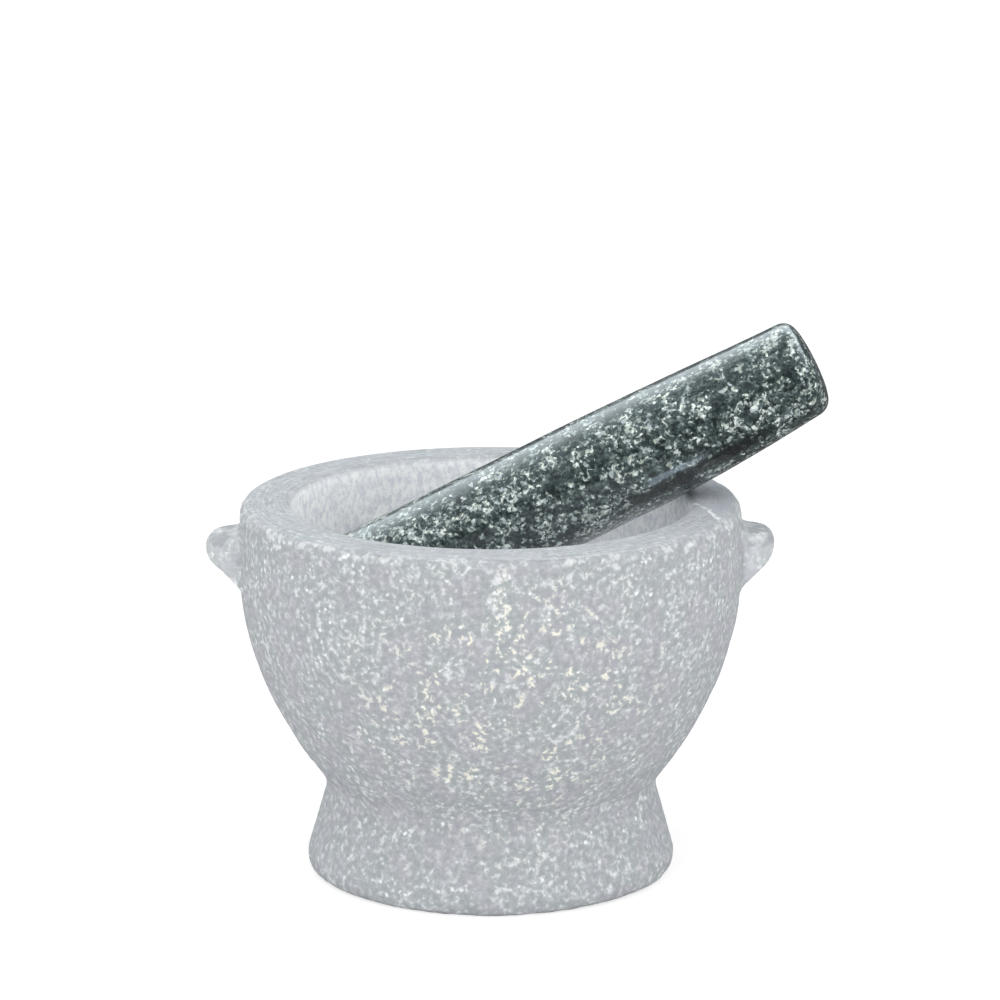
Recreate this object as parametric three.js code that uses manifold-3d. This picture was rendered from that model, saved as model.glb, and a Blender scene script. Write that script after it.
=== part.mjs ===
// A granite mortar with its pestle leaning in the bowl.
// Millimetres, +Z up. The origin is the centre of the foot's flat underside. The two lugs stand out
// along X, and the pestle lies along X too, low end at -X, a little behind the bowl's own axis.
// The mortar is one carved stone and the pestle is another, so the model is two solids.

import * as THREE from 'three';
import { mergeVertices } from 'three/addons/utils/BufferGeometryUtils.js';
import Module from 'manifold-3d';

const wasm = await Module();
wasm.setup();

// ---- Mortar: heights from the table, radii from the bowl's axis ----
const rimHeight = 113;
const rimRadius = 75;
const rimOuterEdge = 4;          // rounding of the rim's outer edge
const rimInnerEdge = 2.5;        // rounding of the lip that the pestle leans on
const lipRadius = 59.3;          // inner wall just under the lip
const bowlRadius = 58.6;         // inner wall where the round bottom starts
const bowlSpring = 88;           // height where the round bottom starts
const bowlFloor = 38;
const wallSpring = 92;           // height where the outer wall becomes upright
const wallPull = 60.8;           // height of the control point that rounds the outer wall
const neckRadius = 50.6;         // outer wall just above the waist
const neckHeight = 29.5;
const waistRadius = 49;          // control point of the crease between bowl and foot
const waistHeight = 25.8;
const footTopRadius = 50.6;      // foot's side just below the waist
const footTopHeight = 22;
const footRadius = 55.4;
const footSideHeight = 5;        // height where the foot's side starts
const footEdge = 2.4;            // rounding of the foot's lower edge

// ---- Lugs: solid ears carved from the same block, measured from the bowl's axis ----
const lugRoot = 64;              // how far the lug runs back into the wall
const lugHalfWidth = 11;         // half its width where it leaves the wall
const lugNoseHalfWidth = 6;      // half the width over which its nose is nearly flat
const lugCheek = 73;             // where its two cheeks start to round towards the nose
const lugCorner = 4;             // how far behind the nose the cheeks have closed in
const lugToe = 73;               // where its underside runs out into the wall
const lugToeHeight = 85.5;
const lugHollow = 77;            // control point of the hollow between toe and belly
const lugHollowHeight = 90.2;
const lugBelly = 81;             // where the underside turns up into the nose
const lugBellyHeight = 93.4;
const lugChinHeight = 95.5;      // control point of the turn from belly to nose
const lugPlanSpare = 1;          // how far the plan outline is extruded past the lug's top
const lugBrow = 80;              // where its top starts to round over into the nose
const lugs = [
  { turn: 0, reach: 85, top: 104.6, noseHeight: 100.5 },
  { turn: Math.PI, reach: 85.6, top: 103.2, noseHeight: 99 },
];

// ---- Pestle: distances along its own axis, from the point above the mortar's origin ----
const pestleTilt = THREE.MathUtils.degToRad(26.8);   // above the horizontal
const pestleBehind = 10;         // how far its axis lies behind the bowl's axis
const pestleAxisHeight = 102.45; // height of its axis above the origin
const pestleRadius = 17.4;
const pestleTipRadius = 15;      // radius at the hand end
const domeStart = -48.5;         // where the working end's dome begins
const domeLength = 12;
const taperStart = 52;
const taperBend = 60;
const taperSettled = 80;
const taperSettledRadius = 16.3;
const handEnd = 109.3;
const handCrown = 1.9;           // how much the hand end's face is crowned
const handEdge = 4.5;            // rounding of the hand end's edge
const bowStart = 47.5;           // where the shaft starts to bow upwards
const handBow = 1.75;            // how far the bow has lifted the hand end

// ---- Facets ----
const mortarSegments = 72;
const pestleSegments = 40;
const curveSteps = 5;

/** Turns an outline (radius, height) that starts and ends on the axis into a body around +Z. */
function turned(outline, segments) {
  const geometry = new THREE.LatheGeometry(outline, segments);
  geometry.rotateX(Math.PI / 2);
  return closed(geometry);
}

/** Merges shared vertices and drops the triangles that collapse on the axis. */
function closed(geometry) {
  geometry.deleteAttribute('normal');
  geometry.deleteAttribute('uv');
  const merged = mergeVertices(geometry, 1e-4);
  const source = merged.index.array;
  const kept = [];
  for (let i = 0; i < source.length; i += 3) {
    const [a, b, c] = [source[i], source[i + 1], source[i + 2]];
    if (a !== b && b !== c && c !== a) kept.push(a, b, c);
  }
  merged.setIndex(kept);
  return merged;
}

/** A closed geometry as a manifold-3d solid. */
function solid(geometry) {
  return new wasm.Manifold(new wasm.Mesh({
    numProp: 3,
    vertProperties: new Float32Array(geometry.attributes.position.array),
    triVerts: new Uint32Array(geometry.index.array),
  }));
}

/** A manifold-3d solid back as a geometry with normals. */
function geometryOf(manifold) {
  const mesh = manifold.getMesh();
  const geometry = new THREE.BufferGeometry();
  geometry.setAttribute('position', new THREE.BufferAttribute(new Float32Array(mesh.vertProperties), 3));
  geometry.setIndex(new THREE.BufferAttribute(new Uint32Array(mesh.triVerts), 1));
  geometry.computeVertexNormals();
  return geometry;
}

/** The mortar's turned body: foot, waist, bowl wall, flat rim, rounded lip and round bottom inside. */
function mortarBody() {
  const outline = new THREE.Path();
  outline.moveTo(0, 0);
  outline.lineTo(footRadius - footEdge, 0);
  outline.quadraticCurveTo(footRadius, 0, footRadius, footSideHeight);
  outline.lineTo(footTopRadius, footTopHeight);
  outline.quadraticCurveTo(waistRadius, waistHeight, neckRadius, neckHeight);
  outline.quadraticCurveTo(rimRadius, wallPull, rimRadius, wallSpring);
  outline.lineTo(rimRadius, rimHeight - rimOuterEdge);
  outline.quadraticCurveTo(rimRadius, rimHeight, rimRadius - rimOuterEdge, rimHeight);
  outline.lineTo(lipRadius + rimInnerEdge, rimHeight);
  outline.quadraticCurveTo(lipRadius, rimHeight, lipRadius, rimHeight - rimInnerEdge);
  outline.lineTo(bowlRadius, bowlSpring);
  outline.absellipse(0, bowlSpring, bowlRadius, bowlSpring - bowlFloor, 0, -Math.PI / 2, true);
  const points = outline.getPoints(curveSteps);
  points[points.length - 1].x = 0;
  return turned(points, mortarSegments);
}

/** One lug along +X: its side outline and its plan outline, each extruded, and what they share. */
function lug({ turn, reach, top, noseHeight }) {
  const side = new THREE.Shape();
  side.moveTo(lugRoot, top);
  side.lineTo(lugRoot, lugToeHeight);
  side.lineTo(lugToe, lugToeHeight);
  side.quadraticCurveTo(lugHollow, lugHollowHeight, lugBelly, lugBellyHeight);
  side.quadraticCurveTo(reach, lugChinHeight, reach, noseHeight);
  side.quadraticCurveTo(reach, top, lugBrow, top);

  const plan = new THREE.Shape();
  plan.moveTo(lugRoot, -lugHalfWidth);
  plan.lineTo(lugCheek, -lugHalfWidth);
  plan.bezierCurveTo(reach - lugCorner, -lugHalfWidth, reach, -lugNoseHalfWidth, reach, 0);
  plan.bezierCurveTo(reach, lugNoseHalfWidth, reach - lugCorner, lugHalfWidth, lugCheek, lugHalfWidth);
  plan.lineTo(lugRoot, lugHalfWidth);

  const options = { depth: 2 * lugHalfWidth, bevelEnabled: false, curveSegments: curveSteps };
  const across = new THREE.ExtrudeGeometry(side, options);
  across.rotateX(Math.PI / 2);
  across.translate(0, lugHalfWidth, 0);
  const down = new THREE.ExtrudeGeometry(plan, options);
  down.translate(0, 0, top - 2 * lugHalfWidth + lugPlanSpare);
  const shared = solid(closed(across)).intersect(solid(closed(down)));
  return shared.rotate([0, 0, THREE.MathUtils.radToDeg(turn)]);
}

/** The whole mortar: the turned body with its two lugs grown on. */
function mortarGeometry() {
  const block = lugs.reduce((sum, each) => sum.add(lug(each)), solid(mortarBody()));
  return geometryOf(block);
}

/** Bows the hand end of the pestle a little upwards, as a shaft ground by hand comes out. */
function bowed(geometry) {
  const places = geometry.attributes.position;
  for (let i = 0; i < places.count; i += 1) {
    const past = Math.max(places.getZ(i) - bowStart, 0) / (handEnd - bowStart);
    places.setX(i, places.getX(i) - handBow * past * past);
  }
  return geometry;
}

/** The pestle along its own axis: domed working end, parallel shaft, taper and crowned hand end. */
function pestleGeometry() {
  const outline = new THREE.Path();
  outline.moveTo(0, domeStart - domeLength);
  outline.absellipse(0, domeStart, pestleRadius, domeLength, -Math.PI / 2, 0, false);
  outline.lineTo(pestleRadius, taperStart);
  outline.quadraticCurveTo(pestleRadius, taperBend, taperSettledRadius, taperSettled);
  outline.lineTo(pestleTipRadius, handEnd - handCrown - handEdge);
  outline.quadraticCurveTo(
    pestleTipRadius, handEnd - handCrown, pestleTipRadius - handEdge, handEnd - handCrown / 2);
  outline.quadraticCurveTo(pestleTipRadius / 2, handEnd, 0, handEnd);
  const points = outline.getPoints(curveSteps);
  points[0].x = 0;
  return bowed(turned(points, pestleSegments));
}

const mortar = new THREE.Mesh(
  mortarGeometry(),
  new THREE.MeshStandardMaterial({ color: 0xbabdbf, roughness: 0.75, metalness: 0 }),
);
mortar.name = 'mortar';

const pestle = new THREE.Mesh(
  pestleGeometry(),
  new THREE.MeshStandardMaterial({ color: 0x4a5452, roughness: 0.25, metalness: 0 }),
);
pestle.name = 'pestle';

const pestleSeat = new THREE.Group();
pestleSeat.position.set(0, pestleBehind, pestleAxisHeight);
pestleSeat.rotation.y = Math.PI / 2 - pestleTilt;
pestleSeat.add(pestle);

const group = new THREE.Group();
group.add(mortar, pestleSeat);

export default group;
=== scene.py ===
"""Looks for a granite mortar with its pestle leaning in the bowl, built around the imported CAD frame.

Two stones stand for the two CAD nodes. Outlines are in millimetres, in the part's own frame: the same
driving dimensions as the CAD, drawn finely. The mortar is then voxel remeshed, smoothed and carved,
and the pestle is bowed and worn a little uneven.
"""

import itertools
import math

import bpy
import numpy as np
from mathutils import Matrix, Vector


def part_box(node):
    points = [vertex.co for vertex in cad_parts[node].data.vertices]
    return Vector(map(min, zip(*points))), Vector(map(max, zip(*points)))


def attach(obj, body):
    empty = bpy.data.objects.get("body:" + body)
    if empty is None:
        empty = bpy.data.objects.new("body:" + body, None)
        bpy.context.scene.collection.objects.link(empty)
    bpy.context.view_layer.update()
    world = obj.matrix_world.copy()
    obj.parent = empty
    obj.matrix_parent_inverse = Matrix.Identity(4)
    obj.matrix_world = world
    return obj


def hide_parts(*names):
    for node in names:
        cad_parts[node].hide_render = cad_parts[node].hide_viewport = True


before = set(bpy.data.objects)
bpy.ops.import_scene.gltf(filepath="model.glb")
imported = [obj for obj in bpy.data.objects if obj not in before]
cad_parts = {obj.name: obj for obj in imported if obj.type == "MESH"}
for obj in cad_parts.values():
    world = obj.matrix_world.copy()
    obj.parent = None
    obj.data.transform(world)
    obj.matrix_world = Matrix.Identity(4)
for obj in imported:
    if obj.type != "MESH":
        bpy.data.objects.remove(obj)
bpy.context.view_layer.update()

MM = 0.001

# ---- Mortar outline, from the bowl's axis and the table ----
RIM_HEIGHT = 113
RIM_RADIUS = 75
RIM_OUTER_EDGE = 4
RIM_INNER_EDGE = 2.5
LIP_RADIUS = 59.3
BOWL_RADIUS = 58.6
BOWL_SPRING = 88
BOWL_FLOOR = 38
WALL_SPRING = 92
WALL_PULL = 60.8
NECK = (50.6, 29.5)
WAIST = (49, 25.8)
FOOT_TOP = (50.6, 22)
FOOT_RADIUS = 55.4
FOOT_SIDE_HEIGHT = 5
FOOT_EDGE = 2.4

# ---- Lugs ----
LUG_ROOT = 64
LUG_HALF_WIDTH = 11
LUG_NOSE_HALF_WIDTH = 6
LUG_CHEEK = 73
LUG_CORNER = 4
LUG_TOE = (73, 85.5)
LUG_HOLLOW = (77, 90.2)
LUG_BELLY = (81, 93.4)
LUG_CHIN_HEIGHT = 95.5
LUG_BROW = 80
LUGS = (
    {"turn": 0, "reach": 85, "top": 104.6, "nose_height": 100.5},
    {"turn": math.pi, "reach": 85.6, "top": 103.2, "nose_height": 99},
)

# ---- Pestle: distances along its own axis ----
PESTLE_TILT = math.radians(26.8)
PESTLE_SEAT = Vector((0, 10, 102.45))
PESTLE_RADIUS = 17.4
PESTLE_TIP_RADIUS = 15
DOME_START = -48.5
DOME_LENGTH = 12
TAPER_START = 52
TAPER_BEND = 60
TAPER_SETTLED = 80
TAPER_SETTLED_RADIUS = 16.3
HAND_END = 109.3
HAND_CROWN = 1.9
HAND_EDGE = 4.5
BOW_START = 47.5
HAND_BOW = 1.75

# ---- Fineness of the meshes ----
MORTAR_VOXEL = 1.18
MORTAR_SMOOTHING = 3             # passes of smoothing
LUG_VOXEL = 0.8
LUG_SMOOTHING = 10
SMOOTH_FACTOR = 0.5
LUG_SPARE = 1                    # how far a lug's two blocks run past each other
OUTLINE_STEP = 0.8
CURVE_STEPS = 24
ARC_STEPS = 48
LUG_CURVE_STEPS = 8
MORTAR_SEGMENTS = 360
PESTLE_SEGMENTS = 150

# ---- Carving noise: a depth in millimetres, then (size of its features, seed) ----
SWELL_DEPTH, SWELL = 0.30, (34, 1)
WAVE_DEPTH, WAVE = 0.14, (13, 2)
PIT_DEPTH, PITS = 0.20, (3.4, 3)
GRIT_SHARE, GRIT = 0.35, (1.9, 4)
PIT_CEILING = 0.15               # the pits' noise is cut off here, so the stone stays flat between them
PEEN_DEPTH, PEEN = 0.34, (4.2, 5)
PEEN_CEILING = 0.2
STREAK_DEPTH, STREAKS = 0.05, (6, 6)
STREAK_ACROSS = 6                # how fast the rim's streaks change with the radius
STREAK_ROUND = 12                # and with the angle
CHIP_DEPTH, CHIPS = 1.1, (4.6, 7)
CHIP_CHANCE = (0.42, 0.75)       # noise at which chips start and are full
CHIP_WIDTH = 2.5                 # how far chips reach in from the rim's edge
CHIP_HEIGHT = 3.5                # and down from it
RIM_UPWARD = (0.7, 0.95)         # how upright a normal is on the flat rim
RIM_BAND = (RIM_HEIGHT - 3, RIM_HEIGHT - 1)
LIP_BAND = (LIP_RADIUS + 1, LIP_RADIUS - 1)
FLOOR_SPARE = 2                  # how far below the bowl's floor the carving still counts as bowl
RIM_CALM = 0.75                  # share of the unevenness that the ground rim loses
BOWL_CALM = 0.8
ROD_SWELL_DEPTH, ROD_SWELL = 0.14, (21, 11)
ROD_WAVE_DEPTH, ROD_WAVE = 0.03, (6, 12)
ROD_WORN = 0.08                  # taken off the pestle all over

# ---- Hash that gives the carving noise its values ----
HASH_AXES = (73856093, 19349663, 83492791)
HASH_SEED = 2654435761
HASH_ROUNDS = ((13, 1274126177), (16, 2246822519))
HASH_DROPPED_BITS = 8
HASH_KEPT_BITS = 0xFFFF
HASH_HALF = 0x7FFF

# ---- Mortar granite: colours as sRGB, and how strongly they cover what is under them ----
COOL_GREY = (165, 167, 172)
GREEN_GREY = (163, 169, 170)
DARK_GRAIN = (148, 151, 155)
PALE_GRAIN = (214, 216, 219)
WHITE_DOT, DOT_COVER = (240, 242, 243), 0.85
CREAM, CREAM_COVER = (236, 232, 212), 0.75
HONED_DARK = (146, 151, 156)
HONED_PALE, HONED_COVER = (184, 189, 193), 0.45
GROUND_GREY, GROUND_COVER = (180, 185, 194), 0.6
SCRATCH_WHITE = (238, 242, 246)
# Paler patches on the rim's outer corner
CORNER_PALE, CORNER_PALE_COVER = (220, 222, 222), 0.5
# Near-white colours of the bowl's inside: the tool's mottling, painted pale as painted light
PEENED_PAINTED_LIGHT_DARK = (222, 226, 233)
PEENED_PAINTED_LIGHT_PALE = (254, 255, 255)
# Painted light: the lugs painted paler than the body
LUG_PAINTED_LIGHT, LUG_PAINTED_LIGHT_COVER = (222, 225, 227), 0.28
WORN_DARK, WORN_COVER = (134, 138, 143), 0.6

# ---- Mortar granite: noises as (size in mm, detail, roughness), warps as (size, amount) in mm ----
HUE_NOISE = (9, 1.0)
GRAIN_NOISE, GRAIN_WARP = (1.8, 2.0, 0.58), (2.4, 0.9)
CRYSTAL_SIZE, CRYSTAL_WARP = 0.85, (1.2, 0.5)
CLUMP_NOISE = (9, 2.0)
DOT_SIZE, DOT_SHARE, DOT_WARP = 1.4, 0.10, (1.4, 0.7)
CREAM_NOISE = (7, 2.0)
SWIRL_NOISE = (1000, 2.0)
SCRATCH_WANDER_SIZE = 5
SCRATCH_BREAK_SIZE = 3
CORNER_PALE_NOISE = (3.5, 3.0)
PEENED_NOISE = (1.8, 4.0, 0.7)
WORN_NOISE = (5, 2.0)
RELIEF_NOISE = (1.1, 3.0, 0.6)

# ---- Mortar granite: soft steps as (from, to) or (from, to, value before, value after) ----
HUE_STEP = (0.42, 0.58)
DARK_STEP = (0.52, 0.30, 0.0, 0.7)
PALE_STEP = (0.48, 0.74)
CLUMP_STEP = (0.36, 0.62, 0.45, 1.0)
SPECK_EDGE = 0.02                # softness of the share of crystals that are specks
SPECK_STRENGTH = (0.0, 1.0, 0.35, 1.0)
SPECK_FADE = (0.62, 0.22)        # from a speck's rim to its middle
CREAM_CENTRE = Vector((6, -68, 64))
CREAM_REACH = (60, 20)           # distance from the centre at which cream strokes start and are full
CREAM_STEP = (0.50, 0.58)
STROKE_STEP = (0.52, 0.66)
RIM_STEP = (RIM_HEIGHT - 2.2, RIM_HEIGHT - 0.5)
SWIRL_ACROSS = 1.5               # how fast the honing streaks change with the radius
SWIRL_ROUND = 5.0                # and with the angle
HONED_STEP = (0.38, 0.62)
PATCH_ANGLE = 0.05               # middle of the ground patch, in radians from +X
PATCH_HALF_ANGLE = (0.42, 0.30)
PATCH_EDGE = (RIM_RADIUS - 1.5, RIM_RADIUS - 3.5)
SCRATCH_START = 58.5             # radius at which the scratch would meet the X axis
SCRATCH_SLANT = 0.0273           # radians that it turns in each millimetre
SCRATCH_WANDER = (0.2, 0.8, -0.03, 0.03)
SCRATCH_HALF_WIDTH = (0.026, 0.008)
SCRATCH_END = (RIM_RADIUS - 2.8, RIM_RADIUS - 3.8)
SCRATCH_BREAK = (0.40, 0.60, 0.2, 0.75)
CORNER_RADIUS = (RIM_RADIUS - 2.5, RIM_RADIUS - 1.2)
CORNER_HEIGHT = (RIM_HEIGHT - 3.5, RIM_HEIGHT - 2.2)
CORNER_PALE_STEP = (0.54, 0.64)
BOWL_EDGE = (1.10, 1.03)         # the bowl's own ellipse is at 1
BOWL_TOP = (RIM_HEIGHT, RIM_HEIGHT - 2.5)
PEENED_SQUASH = (1.0, 1.0, 0.7)  # draws the peened marks out upwards
PEENED_STEP = (0.36, 0.64)
LUG_OUT = (RIM_RADIUS - 0.5, RIM_RADIUS + 1.5)
WORN_OUT = (RIM_RADIUS + 0.5, RIM_RADIUS + 2.5)
WORN_HEIGHT = (99.5, 101.5)
WORN_STEP = (0.42, 0.56)
RELIEF_SHARES = (0.7, 0.3, 0.5)  # of the noise, the crystals and the streaks on the rim
MORTAR_BUMP = (0.35, 0.4)        # strength, and depth in millimetres
MORTAR_ROUGHNESS = (0.0, 1.0, 0.78, 0.58)

# ---- Pestle granite ----
FINE_SIZE, FINE_WARP = 0.8, (1.3, 0.65)
COARSE_SIZE, COARSE_WARP = 1.4, (2.1, 1.0)
CRYSTAL_SHARE = 0.5              # of the fine and of the coarse crystals in a point's tone
ROD_CLUMP_NOISE, ROD_CLUMP_STEP = (7, 2.0), (0.36, 0.64, -0.16, 0.12)
GREEN_BLACK = (24, 34, 33)
DEEP_GREEN, DEEP_STEP = (54, 68, 68), (0.10, 0.44)
MIDDLE_GREEN, MIDDLE_STEP = (88, 101, 100), (0.46, 0.60)
FLECK_WARM = (160, 170, 158)
FLECK_COOL, FLECK_STEP = (164, 176, 180), (0.64, 0.76)
FLECK_WHITE, WHITE_STEP, WHITE_CHANCE = (216, 224, 218), (0.80, 0.87), (0.3, 0.5)
LINE_WANDER_SIZE = 9
LINE_WANDER = (0.2, 0.8, -0.06, 0.06)
# Painted reflection and painted highlight: a dark streak low on the pestle's front and a short bluish
# line above it
PAINTED_REFLECTION_DARK, PAINTED_REFLECTION_COVER = (18, 21, 21), 0.9
PAINTED_REFLECTION_ANGLE = -0.60               # radians round the pestle's axis, from its front upwards
PAINTED_REFLECTION_HALF_ANGLE = (0.21, 0.09)
PAINTED_REFLECTION_LOW, PAINTED_REFLECTION_HIGH = (34, 48), (92, 78)
PAINTED_HIGHLIGHT_BLUE, PAINTED_HIGHLIGHT_COVER = (150, 166, 178), 0.45
PAINTED_HIGHLIGHT_ANGLE = -0.36
PAINTED_HIGHLIGHT_HALF_ANGLE = (0.07, 0.02)
PAINTED_HIGHLIGHT_LOW, PAINTED_HIGHLIGHT_HIGH = (44, 54), (72, 62)
POLISH_NOISE = (1.6, 2.0)
PESTLE_BUMP = (0.05, 0.3)
PESTLE_ROUGHNESS = (0.0, 1.0, 0.26, 0.36)
PESTLE_COAT = 0.8
PESTLE_COAT_ROUGHNESS = 0.05

# ---- Shader helpers: the sRGB curve, a colour mixer's own sockets, and the warping noise ----
SRGB_KNEE = 0.04045
SRGB_SLOPE = 12.92
SRGB_OFFSET = 0.055
SRGB_POWER = 2.4
SRGB_FULL = 255
MIX_FIRST, MIX_SECOND, MIX_RESULT = 6, 7, 2
NOISE_MIDDLE = (0.5, 0.5, 0.5)   # the noise runs from 0 to 1, so this is no push at all
WARP_DETAIL = 2.0

# ---- Camera ----
CAMERA_ELEVATION = math.radians(13.32)
CAMERA_DISTANCE = 1.493
CAMERA_LENS = 180
CAMERA_SENSOR = 36
CAMERA_AIM = Vector((0.0027, 0, 0.1128))

# ---- Studio, in metres and watts ----
WHITE = (1, 1, 1, 1)
FLOOR_HALF = 6.0
FLOOR_SEEN = (0.36, 0.36, 0.36, 1)
FLOOR_GLOW = 0.70
FLOOR_BOUNCE = (0.92, 0.92, 0.93, 1)
FLOOR_MIRRORED = (0.12, 0.12, 0.12, 1)
SKY_STEP = (0.0, 1.0, 1.08, 0.84)
GLOSS_SKY_STEP = (0.2, 0.7, 0.12, 0.55)
GLOSS_TINT = (0.86, 0.95, 1.0, 1)
BANK_BEHIND = (-0.2, 0.3)
BANK_BOTTOM, BANK_TOP = (0.34, 0.44), (0.95, 0.72)
BANK_STRENGTH = 2.3
BOWL_AIM, FOOT_AIM = (0, 0, 0.08), (0, 0, 0.04)
LAMPS = (
    {"name": "overhead", "place": (0.0, -0.45, 1.0), "aim": BOWL_AIM, "size": 0.8, "power": 3.5},
    {"name": "left", "place": (-0.65, 0.45, 0.85), "aim": BOWL_AIM, "size": 0.5, "power": 1.2},
    {"name": "front_left", "place": (-1.0, -0.65, 0.40), "aim": FOOT_AIM, "size": 0.8, "power": 2.2},
    {"name": "front_right", "place": (1.0, -0.65, 0.40), "aim": FOOT_AIM, "size": 0.8, "power": 2.6},
)


# ------------------------------------------------------------------ outlines

class Outline:
    """A line of (x, y) points in millimetres, drawn with straight and curved strokes."""

    def __init__(self, x, y):
        self.points = [np.array((x, y), float)]

    def line(self, x, y):
        """A straight stroke to (x, y)."""
        self.points.append(np.array((x, y), float))
        return self

    def curve(self, pull, end, steps=CURVE_STEPS):
        """A quadratic curve towards pull and on to end."""
        start, pull, end = self.points[-1], np.array(pull, float), np.array(end, float)
        for t in np.linspace(0, 1, steps + 1)[1:]:
            self.points.append((1 - t) ** 2 * start + 2 * t * (1 - t) * pull + t * t * end)
        return self

    def bend(self, pull_out, pull_in, end, steps=CURVE_STEPS):
        """A cubic curve with two control points."""
        start = self.points[-1]
        a, b, end = (np.array(p, float) for p in (pull_out, pull_in, end))
        for t in np.linspace(0, 1, steps + 1)[1:]:
            self.points.append((1 - t) ** 3 * start + 3 * t * (1 - t) ** 2 * a
                               + 3 * t * t * (1 - t) * b + t ** 3 * end)
        return self

    def quarter(self, centre, radii, start, end, steps=ARC_STEPS):
        """Part of an ellipse round centre, between two angles."""
        for angle in np.linspace(start, end, steps + 1)[1:]:
            self.points.append(np.array((centre[0] + radii[0] * math.cos(angle),
                                         centre[1] + radii[1] * math.sin(angle))))
        return self

    def even(self, step):
        """The outline's points at even spacing, as an array."""
        points = np.array(self.points)
        along = np.concatenate([[0], np.cumsum(np.linalg.norm(np.diff(points, axis=0), axis=1))])
        at = np.linspace(0, along[-1], int(round(along[-1] / step)) + 1)
        return np.stack([np.interp(at, along, points[:, k]) for k in (0, 1)], axis=1)


def mortar_outline():
    """Foot, waist, bowl wall, flat rim, rounded lip and round bottom inside, axis to axis."""
    outline = Outline(0, 0)
    outline.line(FOOT_RADIUS - FOOT_EDGE, 0)
    outline.curve((FOOT_RADIUS, 0), (FOOT_RADIUS, FOOT_SIDE_HEIGHT))
    outline.line(*FOOT_TOP)
    outline.curve(WAIST, NECK)
    outline.curve((RIM_RADIUS, WALL_PULL), (RIM_RADIUS, WALL_SPRING))
    outline.line(RIM_RADIUS, RIM_HEIGHT - RIM_OUTER_EDGE)
    outline.curve((RIM_RADIUS, RIM_HEIGHT), (RIM_RADIUS - RIM_OUTER_EDGE, RIM_HEIGHT))
    outline.line(LIP_RADIUS + RIM_INNER_EDGE, RIM_HEIGHT)
    outline.curve((LIP_RADIUS, RIM_HEIGHT), (LIP_RADIUS, RIM_HEIGHT - RIM_INNER_EDGE))
    outline.line(BOWL_RADIUS, BOWL_SPRING)
    outline.quarter((0, BOWL_SPRING), (BOWL_RADIUS, BOWL_SPRING - BOWL_FLOOR), 0, -math.pi / 2)
    return outline.even(OUTLINE_STEP)


def pestle_outline():
    """Domed working end, parallel shaft, taper and crowned hand end, axis to axis."""
    outline = Outline(0, DOME_START - DOME_LENGTH)
    outline.quarter((0, DOME_START), (PESTLE_RADIUS, DOME_LENGTH), -math.pi / 2, 0)
    outline.line(PESTLE_RADIUS, TAPER_START)
    outline.curve((PESTLE_RADIUS, TAPER_BEND), (TAPER_SETTLED_RADIUS, TAPER_SETTLED))
    outline.line(PESTLE_TIP_RADIUS, HAND_END - HAND_CROWN - HAND_EDGE)
    outline.curve((PESTLE_TIP_RADIUS, HAND_END - HAND_CROWN),
                  (PESTLE_TIP_RADIUS - HAND_EDGE, HAND_END - HAND_CROWN / 2))
    outline.curve((PESTLE_TIP_RADIUS / 2, HAND_END), (0, HAND_END))
    return outline.even(OUTLINE_STEP)


# -------------------------------------------------------------------- meshes

def mesh_object(name, vertices, faces):
    """A new object in the scene from vertices in metres."""
    mesh = bpy.data.meshes.new(name)
    mesh.from_pydata([tuple(v) for v in vertices], [], faces)
    mesh.validate()
    piece = bpy.data.objects.new(name, mesh)
    bpy.context.scene.collection.objects.link(piece)
    return piece


def turned(outline, segments):
    """Vertices and faces of an outline turned round +Z. It starts and ends on the axis."""
    angles = np.linspace(0, 2 * math.pi, segments, endpoint=False)
    rings = outline[1:-1]
    ring_points = np.stack([rings[:, 0, None] * np.cos(angles),
                            rings[:, 0, None] * np.sin(angles),
                            np.repeat(rings[:, 1, None], segments, axis=1)], axis=-1)
    vertices = np.concatenate([ring_points.reshape(-1, 3),
                               [[0, 0, outline[0, 1]], [0, 0, outline[-1, 1]]]]) * MM
    first, last = len(vertices) - 2, len(vertices) - 1
    top_ring = (len(rings) - 1) * segments
    faces = []
    for k in range(segments):
        after = (k + 1) % segments
        faces.append((first, after, k))
        faces.append((last, top_ring + k, top_ring + after))
        for ring in range(len(rings) - 1):
            low, high = ring * segments, (ring + 1) * segments
            faces.append((low + k, low + after, high + after, high + k))
    return vertices, faces


def prism(outline, low, high, place):
    """A closed prism of a flat outline between two depths, with place(x, y, depth) giving 3-D points."""
    count = len(outline)
    vertices = [place(x, y, depth) for depth in (low, high) for x, y in outline]
    faces = [tuple(range(count))[::-1], tuple(range(count, 2 * count))]
    faces += [(k, (k + 1) % count, count + (k + 1) % count, count + k) for k in range(count)]
    return np.array(vertices) * MM, faces


def baked(piece):
    """Makes the result of a piece's modifiers its mesh, and clears them."""
    depsgraph = bpy.context.evaluated_depsgraph_get()
    mesh = bpy.data.meshes.new_from_object(piece.evaluated_get(depsgraph))
    piece.modifiers.clear()
    old = piece.data
    piece.data = mesh
    bpy.data.meshes.remove(old)
    return piece


def modified(piece, kind, **settings):
    """Adds one modifier with its settings."""
    modifier = piece.modifiers.new(kind.lower(), kind)
    for key, value in settings.items():
        setattr(modifier, key, value)
    return piece


def removed(piece):
    """Deletes a helper object and its mesh."""
    mesh = piece.data
    bpy.data.objects.remove(piece)
    bpy.data.meshes.remove(mesh)


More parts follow.
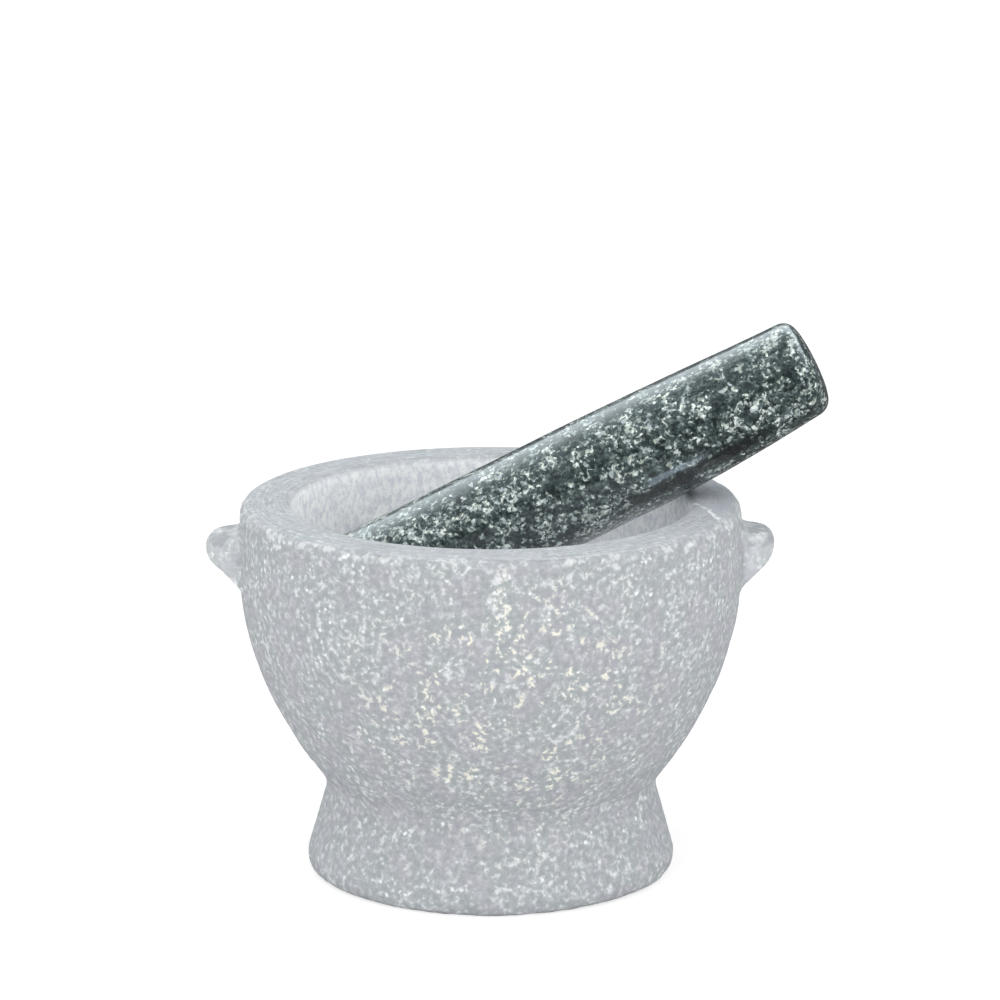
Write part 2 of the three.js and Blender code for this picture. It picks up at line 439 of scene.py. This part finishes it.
def rounded_lug(turn, reach, top, nose_height):
    """One lug as a soft-cornered block: its side outline cut by its plan outline, then smoothed."""
    side = Outline(LUG_ROOT, top).line(LUG_ROOT, LUG_TOE[1]).line(*LUG_TOE)
    side.curve(LUG_HOLLOW, LUG_BELLY, LUG_CURVE_STEPS)
    side.curve((reach, LUG_CHIN_HEIGHT), (reach, nose_height), LUG_CURVE_STEPS)
    side.curve((reach, top), (LUG_BROW, top), LUG_CURVE_STEPS)
    plan = Outline(LUG_ROOT, -LUG_HALF_WIDTH).line(LUG_CHEEK, -LUG_HALF_WIDTH)
    plan.bend((reach - LUG_CORNER, -LUG_HALF_WIDTH), (reach, -LUG_NOSE_HALF_WIDTH), (reach, 0),
              LUG_CURVE_STEPS)
    plan.bend((reach, LUG_NOSE_HALF_WIDTH), (reach - LUG_CORNER, LUG_HALF_WIDTH),
              (LUG_CHEEK, LUG_HALF_WIDTH), LUG_CURVE_STEPS)
    plan.line(LUG_ROOT, LUG_HALF_WIDTH)
    half_width = LUG_HALF_WIDTH + LUG_SPARE
    across = mesh_object("lug_across", *prism(side.points, half_width, -half_width,
                                              lambda x, y, depth: (x, depth, y)))
    down = mesh_object("lug_down", *prism(plan.points, LUG_TOE[1] - LUG_SPARE, top + LUG_SPARE,
                                          lambda x, y, depth: (x, y, depth)))
    modified(across, "BOOLEAN", operation="INTERSECT", object=down, solver="EXACT")
    baked(across)
    modified(across, "REMESH", mode="VOXEL", voxel_size=LUG_VOXEL * MM)
    modified(across, "SMOOTH", factor=SMOOTH_FACTOR, iterations=LUG_SMOOTHING)
    baked(across)
    across.data.transform(Matrix.Rotation(turn, 4, "Z"))
    removed(down)
    return across


def joined(name, pieces):
    """One mesh holding every piece's faces, with the pieces removed."""
    vertices, faces = [], []
    for piece in pieces:
        base = len(vertices)
        vertices += [tuple(v.co) for v in piece.data.vertices]
        faces += [tuple(base + i for i in polygon.vertices) for polygon in piece.data.polygons]
        removed(piece)
    return mesh_object(name, vertices, faces)


# --------------------------------------------------------------- carved detail

def lattice_noise(points, size, seed):
    """Smooth random values from -1 to 1 at points in millimetres, with features about size across."""
    grid = points / size
    corner = np.floor(grid).astype(np.int64)
    blend = grid - corner
    blend = blend * blend * (3 - 2 * blend)
    total = np.zeros(len(points))
    for offset in itertools.product((0, 1), repeat=3):
        cell = (corner + offset).astype(np.uint64)
        code = np.uint64(seed * HASH_SEED)
        for axis, prime in enumerate(HASH_AXES):
            code = code ^ cell[:, axis] * np.uint64(prime)
        for shift, factor in HASH_ROUNDS:
            code = (code ^ (code >> np.uint64(shift))) * np.uint64(factor)
        kept = (code >> np.uint64(HASH_DROPPED_BITS)) & np.uint64(HASH_KEPT_BITS)
        value = kept.astype(float) / HASH_HALF - 1
        weight = np.prod(np.where(offset, blend, 1 - blend), axis=1)
        total += weight * value
    return total


def coordinates(piece):
    """The piece's vertex positions and normals, positions in millimetres."""
    count = len(piece.data.vertices)
    positions = np.empty(count * 3)
    piece.data.vertices.foreach_get("co", positions)
    normals = np.empty(count * 3, np.float32)
    piece.data.vertices.foreach_get("normal", normals)
    return positions.reshape(-1, 3) / MM, normals.reshape(-1, 3).astype(float)


def reshape(piece, positions, low, high):
    """Writes positions in millimetres back, kept inside the CAD node's own box."""
    inside = np.clip(positions * MM, np.array(low), np.array(high))
    piece.data.vertices.foreach_set("co", inside.ravel())
    piece.data.update()
    piece.data.shade_smooth()


def smoothstep(low, high, value):
    """0 below low, 1 above high, and a soft step between them."""
    t = np.clip((value - low) / (high - low), 0, 1)
    return t * t * (3 - 2 * t)


def rim_streaks(points, radius):
    """Noise drawn out across the rim, as honing leaves it."""
    angle = np.arctan2(points[:, 1], points[:, 0])
    swirl = np.stack([radius * STREAK_ACROSS, np.zeros_like(radius), angle * STREAK_ROUND], axis=1)
    return lattice_noise(swirl, *STREAKS)


def rim_chips(points, radius, height):
    """How much of a chip there is at each point, from 0 to 1, only along the rim's outer edge."""
    across = (radius - RIM_RADIUS) / CHIP_WIDTH
    down = (height - RIM_HEIGHT) / CHIP_HEIGHT
    edge = np.exp(-across ** 2 - down ** 2)
    return edge * smoothstep(*CHIP_CHANCE, lattice_noise(points, *CHIPS))


def carve_mortar(piece):
    """Hand-cut unevenness, pecked walls, a rougher bowl, a smooth rim and small chips on its edge."""
    points, normals = coordinates(piece)
    radius = np.hypot(points[:, 0], points[:, 1])
    height = points[:, 2]
    top = smoothstep(*RIM_UPWARD, normals[:, 2]) * smoothstep(*RIM_BAND, height)
    bowl = smoothstep(*LIP_BAND, radius) * (height > BOWL_FLOOR - FLOOR_SPARE)
    wall = (1 - top) * (1 - bowl)
    uneven = SWELL_DEPTH * lattice_noise(points, *SWELL) + WAVE_DEPTH * lattice_noise(points, *WAVE)
    pits = lattice_noise(points, *PITS) + GRIT_SHARE * lattice_noise(points, *GRIT)
    amount = uneven * (1 - RIM_CALM * top) * (1 - BOWL_CALM * bowl)
    amount += PIT_DEPTH * np.minimum(pits, PIT_CEILING) * wall
    amount += PEEN_DEPTH * np.minimum(lattice_noise(points, *PEEN), PEEN_CEILING) * bowl
    amount += STREAK_DEPTH * rim_streaks(points, radius) * top
    amount -= CHIP_DEPTH * rim_chips(points, radius, height)
    low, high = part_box("mortar")
    reshape(piece, points + normals * amount[:, None], low, high)


def bow_pestle(piece):
    """Bows the hand end a little upwards, while the pestle still stands on its own axis."""
    points, _ = coordinates(piece)
    past = np.maximum(points[:, 2] - BOW_START, 0) / (HAND_END - BOW_START)
    points[:, 0] -= HAND_BOW * past ** 2
    piece.data.vertices.foreach_set("co", (points * MM).ravel())


def wear_pestle(piece):
    """A ground and polished rod that is a little uneven along its length."""
    points, normals = coordinates(piece)
    uneven = ROD_SWELL_DEPTH * lattice_noise(points, *ROD_SWELL)
    amount = uneven + ROD_WAVE_DEPTH * lattice_noise(points, *ROD_WAVE) - ROD_WORN
    low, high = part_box("pestle")
    reshape(piece, points + normals * amount[:, None], low, high)


# -------------------------------------------------------------------- pieces

def mortar_stone():
    """The mortar: a turned body and two lugs melted into one stone, then carved."""
    body = mesh_object("mortar_body", *turned(mortar_outline(), MORTAR_SEGMENTS))
    stone = joined("mortar_stone", [body] + [rounded_lug(**each) for each in LUGS])
    modified(stone, "REMESH", mode="VOXEL", voxel_size=MORTAR_VOXEL * MM)
    modified(stone, "SMOOTH", factor=SMOOTH_FACTOR, iterations=MORTAR_SMOOTHING)
    baked(stone)
    carve_mortar(stone)
    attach(stone, "mortar")
    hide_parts("mortar")
    return stone


def pestle_stone():
    """The pestle: a polished rod, turned about its own axis and laid in the bowl."""
    vertices, faces = turned(pestle_outline(), PESTLE_SEGMENTS)
    stone = mesh_object("pestle_stone", vertices, faces)
    bow_pestle(stone)
    lean = Matrix.Rotation(math.pi / 2 - PESTLE_TILT, 4, "Y")
    stone.data.transform(Matrix.Translation(PESTLE_SEAT * MM) @ lean)
    stone.data.update()
    wear_pestle(stone)
    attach(stone, "pestle")
    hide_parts("pestle")
    return stone


# ------------------------------------------------------------------ materials

class Shader:
    """A material's or world's node tree, with short calls that add a node and link its inputs."""

    def __init__(self, owner):
        owner.use_nodes = True
        self.owner = owner
        self.tree = owner.node_tree
        self.tree.nodes.clear()

    def put(self, value, socket):
        """Links a socket to an input, or writes a number, colour or vector in it."""
        if isinstance(value, bpy.types.NodeSocket):
            self.tree.links.new(value, socket)
        else:
            socket.default_value = value

    def add(self, kind, inputs=None, **settings):
        """One node with its settings and inputs."""
        node = self.tree.nodes.new("ShaderNode" + kind)
        for key, value in settings.items():
            setattr(node, key, value)
        for key, value in (inputs or {}).items():
            self.put(value, node.inputs[key])
        return node

    def maths(self, operation, a, b=0.0):
        """One sum of one or two values."""
        return self.add("Math", {0: a, 1: b}, operation=operation).outputs[0]

    def times(self, *factors):
        """The product of two or more values."""
        product = factors[0]
        for factor in factors[1:]:
            product = self.maths("MULTIPLY", product, factor)
        return product

    def plus(self, *terms):
        """The sum of two or more values."""
        total = terms[0]
        for term in terms[1:]:
            total = self.maths("ADD", total, term)
        return total

    def in_mm(self, metres):
        """A length in metres, as millimetres."""
        return self.maths("DIVIDE", metres, MM)

    def near(self, value, middle, fade):
        """1 close to middle and 0 away from it, with the (outer, inner) distances of the soft edge."""
        return self.step(self.maths("ABSOLUTE", self.maths("SUBTRACT", value, middle)), *fade)

    def step(self, value, low, high, start=0.0, end=1.0):
        """start below low, end above high, and a soft step between them."""
        return self.add("MapRange", {"Value": value, "From Min": low, "From Max": high,
                                     "To Min": start, "To Max": end},
                        interpolation_type="SMOOTHSTEP").outputs[0]

    def mix(self, amount, a, b):
        """Colour a towards colour b by amount."""
        node = self.add("Mix", {"Factor": amount}, data_type="RGBA")
        self.put(a, node.inputs[MIX_FIRST])
        self.put(b, node.inputs[MIX_SECOND])
        return node.outputs[MIX_RESULT]

    def noise(self, vector, size_mm, detail=2.0, rough=0.5):
        """Cloudy values round 0.5 with features about size_mm across."""
        return self.add("TexNoise", {"Vector": vector, "Scale": 1 / (size_mm * MM), "Detail": detail,
                                     "Roughness": rough}).outputs["Fac"]

    def warped(self, vector, size_mm, amount_mm):
        """The vector pushed about by noise, so that crystal edges aren't straight."""
        node = self.add("TexNoise", {"Vector": vector, "Scale": 1 / (size_mm * MM),
                                     "Detail": WARP_DETAIL})
        centred = self.add("VectorMath", {0: node.outputs["Color"], 1: NOISE_MIDDLE},
                           operation="SUBTRACT")
        push = self.add("VectorMath", {0: centred.outputs[0], "Scale": 2 * amount_mm * MM},
                        operation="SCALE")
        return self.add("VectorMath", {0: vector, 1: push.outputs[0]}).outputs[0]

    def crystals(self, vector, size_mm):
        """Two random values of each crystal in a mosaic, and the distance from its centre."""
        node = self.add("TexVoronoi", {"Vector": vector, "Scale": 1 / (size_mm * MM)})
        split = self.add("SeparateColor", {0: node.outputs["Color"]})
        return split.outputs[0], split.outputs[1], node.outputs["Distance"]

    def specks(self, vector, size_mm, share):
        """Soft specks: a share of the crystals in a mosaic, fading out from their centres."""
        chance, strength, distance = self.crystals(vector, size_mm)
        chosen = self.step(chance, 1 - share, 1 - share + SPECK_EDGE)
        return self.times(chosen, self.step(strength, *SPECK_STRENGTH), self.step(distance, *SPECK_FADE))

    def bump(self, height, strength, depth_mm):
        """A normal that follows a height."""
        node = self.add("Bump", {"Height": height, "Strength": strength, "Distance": depth_mm * MM})
        return node.outputs[0]

    def finish(self, **inputs):
        """Links the Principled shader."""
        names = {"colour": "Base Color", "roughness": "Roughness", "normal": "Normal",
                 "coat": "Coat Weight", "coat_roughness": "Coat Roughness"}
        principled = self.add("BsdfPrincipled", {names[key]: value for key, value in inputs.items()})
        self.add("OutputMaterial", {"Surface": principled.outputs[0]})
        return self.owner


def srgb(red, green, blue):
    """A linear colour from sRGB values of 0 to 255."""
    shares = [value / SRGB_FULL for value in (red, green, blue)]
    return (*(c / SRGB_SLOPE if c <= SRGB_KNEE else ((c + SRGB_OFFSET) / (1 + SRGB_OFFSET)) ** SRGB_POWER
              for c in shares), 1)


class Spot:
    """Where a shaded point of the mortar lies: millimetres, and radians round the bowl's axis."""

    def __init__(self, shader):
        self.place = shader.add("TexCoord").outputs["Object"]
        x, y, z = shader.add("SeparateXYZ", {0: self.place}).outputs
        squares = shader.plus(shader.times(x, x), shader.times(y, y))
        self.radius = shader.in_mm(shader.maths("SQRT", squares))
        self.angle = shader.maths("ARCTAN2", y, x)
        self.height = shader.in_mm(z)
        self.out = shader.in_mm(shader.maths("ABSOLUTE", x))
        self.rim = shader.step(self.height, *RIM_STEP)


def grained(shader, spot, grain):
    """The stone's own grain: two greys, dark and pale strokes in clumps, and white dots."""
    hue = shader.step(shader.noise(spot.place, *HUE_NOISE), *HUE_STEP)
    stone = shader.mix(hue, srgb(*COOL_GREY), srgb(*GREEN_GREY))
    stone = shader.mix(shader.step(grain, *DARK_STEP), stone, srgb(*DARK_GRAIN))
    clump = shader.step(shader.noise(spot.place, *CLUMP_NOISE), *CLUMP_STEP)
    pale = shader.times(shader.step(grain, *PALE_STEP), clump)
    stone = shader.mix(pale, stone, srgb(*PALE_GRAIN))
    dots = shader.specks(shader.warped(spot.place, *DOT_WARP), DOT_SIZE, DOT_SHARE)
    return shader.mix(shader.times(dots, clump, DOT_COVER), stone, srgb(*WHITE_DOT))


def with_cream_strokes(shader, spot, grain, stone):
    """Cream strokes in the middle of the front, in patches."""
    patch = shader.step(shader.noise(spot.place, *CREAM_NOISE), *CREAM_STEP)
    away = shader.add("VectorMath", {0: spot.place, 1: CREAM_CENTRE * MM}, operation="DISTANCE")
    middle = shader.step(shader.in_mm(away.outputs["Value"]), *CREAM_REACH)
    stroke = shader.step(grain, *STROKE_STEP)
    return shader.mix(shader.times(stroke, patch, middle, CREAM_COVER), stone, srgb(*CREAM))


def swirl_streaks(shader, spot):
    """Noise drawn out round the rim, as honing leaves it."""
    swirl = shader.add("CombineXYZ", {0: shader.times(spot.radius, SWIRL_ACROSS),
                                      1: shader.times(spot.angle, SWIRL_ROUND)})
    return shader.noise(swirl.outputs[0], *SWIRL_NOISE)


def with_honed_rim(shader, spot, streak, stone):
    """The flat rim, honed to a streaky plain grey."""
    honed = shader.mix(shader.step(streak, *HONED_STEP), srgb(*HONED_DARK), srgb(*HONED_PALE))
    return shader.mix(shader.times(spot.rim, HONED_COVER), stone, honed)


def with_ground_patch(shader, spot, stone):
    """A plain ground patch on the rim, under the hand end of the pestle."""
    ground = shader.times(shader.near(spot.angle, PATCH_ANGLE, PATCH_HALF_ANGLE),
                          shader.step(spot.radius, *PATCH_EDGE), spot.rim)
    return shader.mix(shader.times(ground, GROUND_COVER), stone, srgb(*GROUND_GREY))


def with_scratch(shader, spot, stone):
    """A broken pale scratch that slants across the rim, from under the pestle towards the front."""
    past = shader.maths("SUBTRACT", spot.radius, SCRATCH_START)
    wander = shader.step(shader.noise(spot.place, SCRATCH_WANDER_SIZE), *SCRATCH_WANDER)
    across = shader.plus(spot.angle, shader.times(past, SCRATCH_SLANT), wander)
    scratch = shader.times(shader.near(across, 0.0, SCRATCH_HALF_WIDTH),
                           shader.step(spot.radius, *SCRATCH_END), spot.rim)
    broken = shader.step(shader.noise(spot.place, SCRATCH_BREAK_SIZE), *SCRATCH_BREAK)
    return shader.mix(shader.times(scratch, broken), stone, srgb(*SCRATCH_WHITE))


def with_pale_corner(shader, spot, stone):
    """Paler patches along the rim's outer corner."""
    corner = shader.times(shader.step(spot.radius, *CORNER_RADIUS),
                          shader.step(spot.height, *CORNER_HEIGHT))
    patchy = shader.step(shader.noise(spot.place, *CORNER_PALE_NOISE), *CORNER_PALE_STEP)
    return shader.mix(shader.times(corner, patchy, CORNER_PALE_COVER), stone, srgb(*CORNER_PALE))


def with_peened_bowl_painted_light(shader, spot, stone):
    """The bowl's inside, painted paler, near white, as painted light, and mottled by the tool. Its mask
    is the bowl's own ellipse.
    """
    across = shader.maths("DIVIDE", spot.radius, BOWL_RADIUS)
    below = shader.maths("MINIMUM", shader.maths("SUBTRACT", spot.height, BOWL_SPRING), 0.0)
    down = shader.maths("DIVIDE", below, BOWL_SPRING - BOWL_FLOOR)
    hollow = shader.plus(shader.times(across, across), shader.times(down, down))
    inside = shader.times(shader.step(hollow, *BOWL_EDGE), shader.step(spot.height, *BOWL_TOP))
    upright = shader.add("VectorMath", {0: spot.place, 1: PEENED_SQUASH}, operation="MULTIPLY")
    marks = shader.step(shader.noise(upright.outputs[0], *PEENED_NOISE), *PEENED_STEP)
    # Painted light: the bowl's inside painted near white, mottled by the tool
    return shader.mix(inside, stone, shader.mix(marks, srgb(*PEENED_PAINTED_LIGHT_DARK), srgb(*PEENED_PAINTED_LIGHT_PALE)))


def with_painted_light_and_worn_lugs(shader, spot, stone):
    """Lugs painted paler as painted light, with worn, darker tops."""
    lug = shader.step(spot.out, *LUG_OUT)
    # Painted light on the lugs
    stone = shader.mix(shader.times(lug, LUG_PAINTED_LIGHT_COVER), stone, srgb(*LUG_PAINTED_LIGHT))
    worn = shader.times(shader.step(spot.out, *WORN_OUT), shader.step(spot.height, *WORN_HEIGHT),
                        shader.step(shader.noise(spot.place, *WORN_NOISE), *WORN_STEP))
    return shader.mix(shader.times(worn, WORN_COVER), stone, srgb(*WORN_DARK))


def mortar_granite():
    """Pale bluish-grey granite with its grain, what honing, peening and wear did to it, and painted
    light in the bowl and on the lugs.
    """
    shader = Shader(bpy.data.materials.new("mortar_granite"))
    spot = Spot(shader)
    grain = shader.noise(shader.warped(spot.place, *GRAIN_WARP), *GRAIN_NOISE)
    streak = swirl_streaks(shader, spot)
    stone = grained(shader, spot, grain)
    stone = with_cream_strokes(shader, spot, grain, stone)
    stone = with_honed_rim(shader, spot, streak, stone)
    # The marks in turn; the bowl's inside and the lugs get painted light among them
    for marked in (with_ground_patch, with_scratch, with_pale_corner, with_peened_bowl_painted_light, with_painted_light_and_worn_lugs):
        stone = marked(shader, spot, stone)

    chance, depth, _ = shader.crystals(shader.warped(spot.place, *CRYSTAL_WARP), CRYSTAL_SIZE)
    of_noise, of_crystals, of_streaks = RELIEF_SHARES
    relief = shader.plus(shader.times(shader.noise(spot.place, *RELIEF_NOISE), of_noise),
                         shader.times(chance, of_crystals),
                         shader.times(streak, spot.rim, of_streaks))
    return shader.finish(colour=stone, roughness=shader.step(depth, *MORTAR_ROUGHNESS),
                         normal=shader.bump(relief, *MORTAR_BUMP))


def pestle_axes(shader, place):
    """Distances in millimetres along the pestle's axis, above it and behind it."""
    from_seat = shader.add("VectorMath", {0: place, 1: PESTLE_SEAT * MM}, operation="SUBTRACT")
    cosine, sine = math.cos(PESTLE_TILT), math.sin(PESTLE_TILT)
    parts = [shader.add("VectorMath", {0: from_seat.outputs[0], 1: direction}, operation="DOT_PRODUCT")
             for direction in ((cosine, 0, sine), (-sine, 0, cosine), (0, 1, 0))]
    return [shader.in_mm(part.outputs["Value"]) for part in parts]


def with_painted_reflections(shader, place, stone):
    """A painted dark reflection low on the front and a painted bluish highlight above it, both in the
    stone's colour.
    """
    along, lift, aside = pestle_axes(shader, place)
    turn = shader.maths("ARCTAN2", lift, shader.maths("MULTIPLY", aside, -1.0))
    wavy = shader.plus(turn, shader.step(shader.noise(place, LINE_WANDER_SIZE), *LINE_WANDER))
    # Painted dark reflection along the lower front
    painted_reflection = shader.times(shader.near(wavy, PAINTED_REFLECTION_ANGLE, PAINTED_REFLECTION_HALF_ANGLE),
                        shader.step(along, *PAINTED_REFLECTION_LOW), shader.step(along, *PAINTED_REFLECTION_HIGH))
    stone = shader.mix(shader.times(painted_reflection, PAINTED_REFLECTION_COVER), stone, srgb(*PAINTED_REFLECTION_DARK))
    # Painted bluish highlight above it
    painted_highlight = shader.times(shader.near(wavy, PAINTED_HIGHLIGHT_ANGLE, PAINTED_HIGHLIGHT_HALF_ANGLE),
                         shader.step(along, *PAINTED_HIGHLIGHT_LOW), shader.step(along, *PAINTED_HIGHLIGHT_HIGH))
    return shader.mix(shader.times(painted_highlight, PAINTED_HIGHLIGHT_COVER), stone, srgb(*PAINTED_HIGHLIGHT_BLUE))


def pestle_granite():
    """Polished green-black granite with dense angular pale flecks, and a painted reflection and a
    painted highlight low on its front.
    """
    shader = Shader(bpy.data.materials.new("pestle_granite"))
    place = shader.add("TexCoord").outputs["Object"]
    fine, fine_tint, _ = shader.crystals(shader.warped(place, *FINE_WARP), FINE_SIZE)
    coarse, coarse_tint, _ = shader.crystals(shader.warped(place, *COARSE_WARP), COARSE_SIZE)
    clump = shader.step(shader.noise(place, *ROD_CLUMP_NOISE), *ROD_CLUMP_STEP)
    tone = shader.plus(shader.times(fine, CRYSTAL_SHARE), shader.times(coarse, CRYSTAL_SHARE), clump)

    stone = shader.mix(shader.step(tone, *DEEP_STEP), srgb(*GREEN_BLACK), srgb(*DEEP_GREEN))
    stone = shader.mix(shader.step(tone, *MIDDLE_STEP), stone, srgb(*MIDDLE_GREEN))
    fleck = shader.mix(coarse_tint, srgb(*FLECK_WARM), srgb(*FLECK_COOL))
    stone = shader.mix(shader.step(tone, *FLECK_STEP), stone, fleck)
    white = shader.times(shader.step(tone, *WHITE_STEP), shader.step(fine_tint, *WHITE_CHANCE))
    stone = shader.mix(white, stone, srgb(*FLECK_WHITE))
    # Painted dark reflection and painted bluish highlight, low on the front
    stone = with_painted_reflections(shader, place, stone)
    return shader.finish(colour=stone, roughness=shader.step(fine, *PESTLE_ROUGHNESS),
                         normal=shader.bump(shader.noise(place, *POLISH_NOISE), *PESTLE_BUMP),
                         coat=PESTLE_COAT, coat_roughness=PESTLE_COAT_ROUGHNESS)


# ---------------------------------------------------------------------- studio

def studio_floor():
    """A plain white table. The camera sees it white, and it throws back rather less light."""
    corners = [(-FLOOR_HALF, -FLOOR_HALF, 0), (FLOOR_HALF, -FLOOR_HALF, 0),
               (FLOOR_HALF, FLOOR_HALF, 0), (-FLOOR_HALF, FLOOR_HALF, 0)]
    floor = mesh_object("floor", corners, [tuple(range(len(corners)))])
    shader = Shader(bpy.data.materials.new("floor_white"))
    ray = shader.add("LightPath").outputs
    seen = shader.add("AddShader", {
        0: shader.add("BsdfDiffuse", {"Color": FLOOR_SEEN}).outputs[0],
        1: shader.add("Emission", {"Color": WHITE, "Strength": FLOOR_GLOW}).outputs[0],
    }).outputs[0]
    bounce = shader.add("BsdfDiffuse", {"Color": FLOOR_BOUNCE}).outputs[0]
    mirrored = shader.add("BsdfDiffuse", {"Color": FLOOR_MIRRORED}).outputs[0]
    unseen = shader.add("MixShader", {0: ray["Is Glossy Ray"], 1: bounce, 2: mirrored}).outputs[0]
    surface = shader.add("MixShader", {0: ray["Is Camera Ray"], 1: unseen, 2: seen}).outputs[0]
    shader.add("OutputMaterial", {"Surface": surface})
    floor.data.materials.append(shader.owner)


def area_light(name, place, aim, size, power):
    """A soft square light facing aim, which doesn't show in the gloss."""
    data = bpy.data.lights.new(name, "AREA")
    data.size = size
    data.energy = power
    lamp = bpy.data.objects.new(name, data)
    lamp.location = place
    lamp.visible_glossy = False
    lamp.rotation_euler = (Vector(aim) - Vector(place)).to_track_quat("-Z", "Y").to_euler()
    bpy.context.scene.collection.objects.link(lamp)


def studio_world():
    """White all round. The gloss sees a dark horizon and a bright bank above and behind instead."""
    world = bpy.data.worlds.new("studio")
    shader = Shader(world)
    direction = shader.add("TexCoord").outputs["Generated"]
    _, y, z = shader.add("SeparateXYZ", {0: direction}).outputs
    bank = shader.times(shader.step(z, *BANK_BOTTOM), shader.step(z, *BANK_TOP),
                        shader.step(y, *BANK_BEHIND))
    gloss = shader.plus(shader.step(z, *GLOSS_SKY_STEP), shader.times(bank, BANK_STRENGTH))
    ray = shader.add("LightPath").outputs
    lit = shader.maths("MAXIMUM", shader.step(z, *SKY_STEP), ray["Is Camera Ray"])
    is_glossy = ray["Is Glossy Ray"]
    strength = shader.plus(shader.times(gloss, is_glossy),
                           shader.times(lit, shader.maths("SUBTRACT", 1.0, is_glossy)))
    tint = shader.mix(is_glossy, WHITE, GLOSS_TINT)
    background = shader.add("Background", {"Color": tint, "Strength": strength})
    shader.add("OutputWorld", {"Surface": background.outputs[0]})
    bpy.context.scene.world = world


def camera():
    """A long lens a little above the rim, aimed at it."""
    data = bpy.data.cameras.new("camera")
    data.lens = CAMERA_LENS
    data.sensor_width = CAMERA_SENSOR
    eye = bpy.data.objects.new("camera", data)
    back = Vector((0, -math.cos(CAMERA_ELEVATION), math.sin(CAMERA_ELEVATION)))
    eye.location = CAMERA_AIM + back * CAMERA_DISTANCE
    eye.rotation_euler = (-back).to_track_quat("-Z", "Y").to_euler()
    bpy.context.scene.collection.objects.link(eye)
    bpy.context.scene.camera = eye


camera()
mortar = mortar_stone()
mortar.data.materials.append(mortar_granite())
pestle = pestle_stone()
pestle.data.materials.append(pestle_granite())
studio_floor()
studio_world()
for each_lamp in LAMPS:
    area_light(**each_lamp)
bpy.context.scene.view_settings.view_transform = "Standard"
